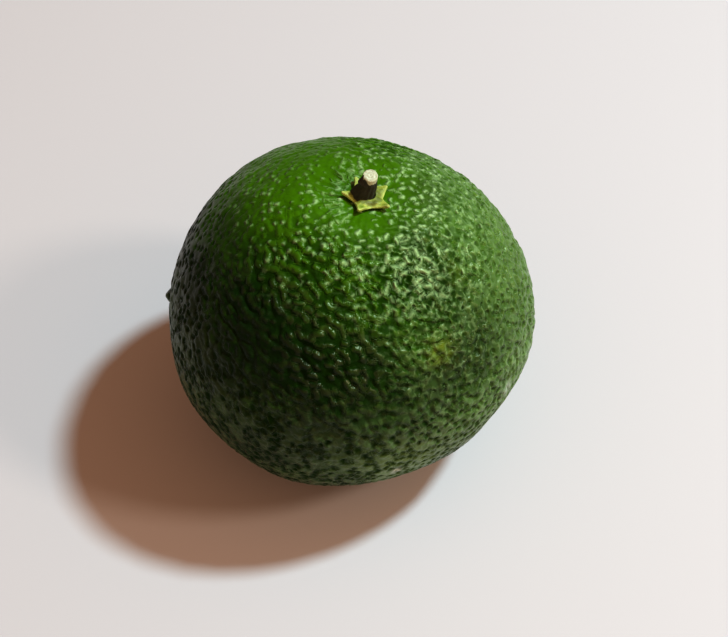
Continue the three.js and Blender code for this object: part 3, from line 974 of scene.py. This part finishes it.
def add_calyx():
    """A thick five-pointed star. Each loop of points is a section, out underneath and back over it."""
    azimuth = np.arange(CALYX_SECTORS) * TURN / CALYX_SECTORS
    share = np.sin(np.linspace(0, math.pi / 2, CALYX_STATIONS))
    section = np.concatenate([share, share[-2::-1]])
    on_top = np.arange(len(section)) >= CALYX_STATIONS - 1
    azimuth, section = (grid.ravel() for grid in np.meshgrid(azimuth, section, indexing="ij"))
    on_top = np.tile(on_top, CALYX_SECTORS)
    out = CALYX_HOLE_RADIUS + (calyx_reach(azimuth) - CALYX_HOLE_RADIUS) * section
    towards = direction(np.degrees(azimuth), np.degrees(out / HOLLOW_FLOOR))
    base = skin_point(towards)
    full = CALYX_THICKNESS - CALYX_THINNING * section
    thickness = full * np.sqrt(1 - section**10)
    rim = bell(section - CALYX_RIM_AT, CALYX_RIM_WIDTH)
    lump = random_field(base, CALYX_LUMP_SIZE, seed=61)
    lift = CLEARANCE + CALYX_UPTURN * (out / CALYX_REACH) ** 3 + (full - thickness) / 2
    heart = CALYX_HEART_HEIGHT * bell(out - CALYX_HOLE_RADIUS, CALYX_HEART_WIDTH)
    fold = CALYX_FOLD * np.cos(calyx_lobe(azimuth)) * smooth_step(*CALYX_FOLD_COMES, section)
    crust = CALYX_RIM_HEIGHT * rim + CALYX_LUMP_HEIGHT * lump * (1 - section**6)
    lift += np.where(on_top, thickness + heart + fold + crust, 0)
    points = base + towards * lift[:, None]
    faces = loops_to_faces(CALYX_SECTORS, 2 * CALYX_STATIONS - 1, True)
    dark = CALYX_DARKNESS * (1 - smooth_step(*CALYX_DARK_HEART, out)) + CALYX_VARIATION * lump
    marks = {
        "rim": CALYX_PALENESS * smooth_step(*CALYX_PALE_RIM, section),
        "heart": np.clip(dark, 0, 1),
    }
    add_piece("calyx", points, faces, marks, calyx_material())


def stalk_radius(azimuth, rise, around):
    """The stalk's radius before its cut end closes it, with its foot, flare, knob and bark."""
    radius = STALK_RADIUS + FOOT_WIDTH * np.exp((STALK_BASE - rise) / FOOT_HEIGHT)
    radius += SWELLING * bell(rise - SWELLING_RISE, SWELLING_SPREAD)
    knob = bell(rise - KNOB_RISE, KNOB_HEIGHT) * bell(np.sin((azimuth - KNOB_AZIMUTH) / 2), KNOB_SPREAD)
    flare = bell(np.sin((azimuth - FLARE_AZIMUTH) / 2), FLARE_SPREAD)
    flare *= 1 - smooth_step(*FLARE_GOES, rise)
    bark = random_field(around, BARK_SIZE, seed=71) * (1 - smooth_step(*BARK_GOES, rise))
    radius += KNOB_SIZE * knob + FLARE_SIZE * flare + BARK_DEPTH * bark
    return radius - CUT_INSET * smooth_step(STALK_HEIGHT - CUT_BEVEL, STALK_HEIGHT, rise) ** 2


def add_stalk():
    """A stub that flares onto the calyx, with a knob of bark beside its pale collar and a slanting cut."""
    side = np.linspace(STALK_BASE, STALK_HEIGHT, STALK_STEPS)
    inwards = np.linspace(1, 0, STALK_CUT_STEPS + 1)[1:]
    rise = np.concatenate([[STALK_BASE], side, np.full(len(inwards), STALK_HEIGHT)])
    inset = np.concatenate([[0], np.ones(len(side)), inwards])
    loops = len(rise)
    on_cut = np.repeat(np.arange(loops) > len(side), STALK_SECTORS)
    rise, inset = np.repeat(rise, STALK_SECTORS), np.repeat(inset, STALK_SECTORS)
    azimuth = np.tile(np.arange(STALK_SECTORS) * TURN / STALK_SECTORS, loops)

    around = [np.cos(azimuth) * BARK_ROUND, np.sin(azimuth) * BARK_ROUND, rise * BARK_ALONG]
    around = np.stack(around, axis=1)
    radius = stalk_radius(azimuth, rise, around) * inset
    x = radius * np.cos(azimuth) - FOOT_SHIFT * (1 - smooth_step(*FOOT_GOES, rise))
    y = radius * np.sin(azimuth)
    grain = random_field(np.stack([x, y, 0 * x], axis=1), CUT_GRAIN_SIZE, seed=72)
    slant = math.tan(STALK_SLANT) * smooth_step(STALK_SLANT_FROM, STALK_HEIGHT, rise)
    z = HOLLOW_FLOOR + rise + y * slant + CUT_GRAIN_HEIGHT * on_cut * grain

    edge = rise + COLLAR_RAGGEDNESS * random_field(around, COLLAR_SIZE, seed=73)
    edge += COLLAR_TILT * np.cos(azimuth - COLLAR_AZIMUTH)
    marks = {
        "collar": smooth_step(*COLLAR_EDGE, edge),
        "ring": (0.5 + 0.5 * np.cos(radius * RING_WAVE)) * on_cut,
        "cut": on_cut.astype(float),
    }
    faces = loops_to_faces(loops, STALK_SECTORS, False)
    add_piece("stalk", np.stack([x, y, z], axis=1), faces, marks, stalk_material())


add_rind()
add_calyx()
add_stalk()

# ---- Stage, light and camera -------------------------------------------------------------------------

FLOOR_SIZE = 6.0
FLOOR_GREY = (0.45, 0.45, 0.45, 1)
FLOOR_ROUGHNESS, FLOOR_SPECULAR = 0.7, 0.2
KEY_TOWARDS = Vector((0.51, 0.1, 0.855))
KEY_DISTANCE = 1.2
KEY_SIZE = 0.134
KEY_POWER = 22.6
KEY_COLOUR = (0.66, 0.875, 0.98)
FILL_TOWARDS = Vector((0.72, -0.24, 0.65))
FILL_DISTANCE = 0.6
FILL_SIZE = 0.1
FILL_POWER = 1.5
FILL_COLOUR = (1, 0.81, 0.69)
ZENITH, HORIZON = (0.68, 0.36, 0.22), (1.05, 0.72, 0.54)
HORIZON_TOP, ZENITH_FROM = 0.2, 0.4
BRIGHT_SIDE = (0.3, -0.7, 0)
CONTRAST = 1.3

CAMERA_AIM = CENTRE + Vector((2.45, 0, -2.24)) * MM
CAMERA_ELEVATION = math.radians(48.4)
CAMERA_DISTANCE = 0.2202
CAMERA_LENS, SENSOR_WIDTH = 65, 36
CAMERA_NEAREST = 0.01


def add_floor():
    mesh = bpy.data.meshes.new("floor")
    half = FLOOR_SIZE / 2
    corners = [(-half, -half, 0), (half, -half, 0), (half, half, 0), (-half, half, 0)]
    mesh.from_pydata(corners, [], [(0, 1, 2, 3)])
    material, _, shader = new_material("floor")
    shader.inputs["Base Color"].default_value = FLOOR_GREY
    shader.inputs["Roughness"].default_value = FLOOR_ROUGHNESS
    shader.inputs["Specular IOR Level"].default_value = FLOOR_SPECULAR
    mesh.materials.append(material)
    floor = bpy.data.objects.new("floor", mesh)
    bpy.context.scene.collection.objects.link(floor)


def aim(thing, towards):
    """Turns a light or camera to look along a direction."""
    thing.rotation_euler = towards.to_track_quat("-Z", "Y").to_euler()


def add_light(name, towards, distance, size, power, colour):
    """A round soft light that faces the fruit from a direction."""
    light = bpy.data.lights.new(name, "AREA")
    light.shape = "DISK"
    light.size = size
    light.energy = power
    light.color = colour
    lamp = bpy.data.objects.new(name, light)
    lamp.location = CENTRE + towards.normalized() * distance
    aim(lamp, -towards)
    bpy.context.scene.collection.objects.link(lamp)


def add_surroundings():
    """Warm light, brightest low down and on the bright side."""
    world = bpy.data.worlds.new("surroundings")
    world.use_nodes = True
    bpy.context.scene.world = world
    tree = world.node_tree
    place = add_node(tree, "TexCoord", {}).outputs["Generated"]
    up = add_node(tree, "SeparateXYZ", {"Vector": place}).outputs["Z"]
    colour = mix(tree, remap(tree, up, HORIZON_TOP, ZENITH_FROM, 0, 1), HORIZON, ZENITH)
    tree.links.new(colour, tree.nodes["Background"].inputs["Color"])
    ahead = vector_node(tree, "DOT_PRODUCT", {0: place, 1: BRIGHT_SIDE}, "Value")
    tree.links.new(remap(tree, ahead, -1, 1, 0, 2), tree.nodes["Background"].inputs["Strength"])


def add_camera():
    camera = bpy.data.objects.new("camera", bpy.data.cameras.new("camera"))
    camera.data.lens = CAMERA_LENS
    camera.data.sensor_width = SENSOR_WIDTH
    camera.data.clip_start = CAMERA_NEAREST
    back = Vector((0, -math.cos(CAMERA_ELEVATION), math.sin(CAMERA_ELEVATION)))
    camera.location = CAMERA_AIM + back * CAMERA_DISTANCE
    aim(camera, -back)
    bpy.context.scene.collection.objects.link(camera)
    bpy.context.scene.camera = camera


add_floor()
add_light("key", KEY_TOWARDS, KEY_DISTANCE, KEY_SIZE, KEY_POWER, KEY_COLOUR)
add_light("fill", FILL_TOWARDS, FILL_DISTANCE, FILL_SIZE, FILL_POWER, FILL_COLOUR)
add_surroundings()
add_camera()
bpy.context.scene.view_settings.view_transform = "Standard"
bpy.context.scene.view_settings.gamma = 1 / CONTRAST

bpy.context.view_layer.update()
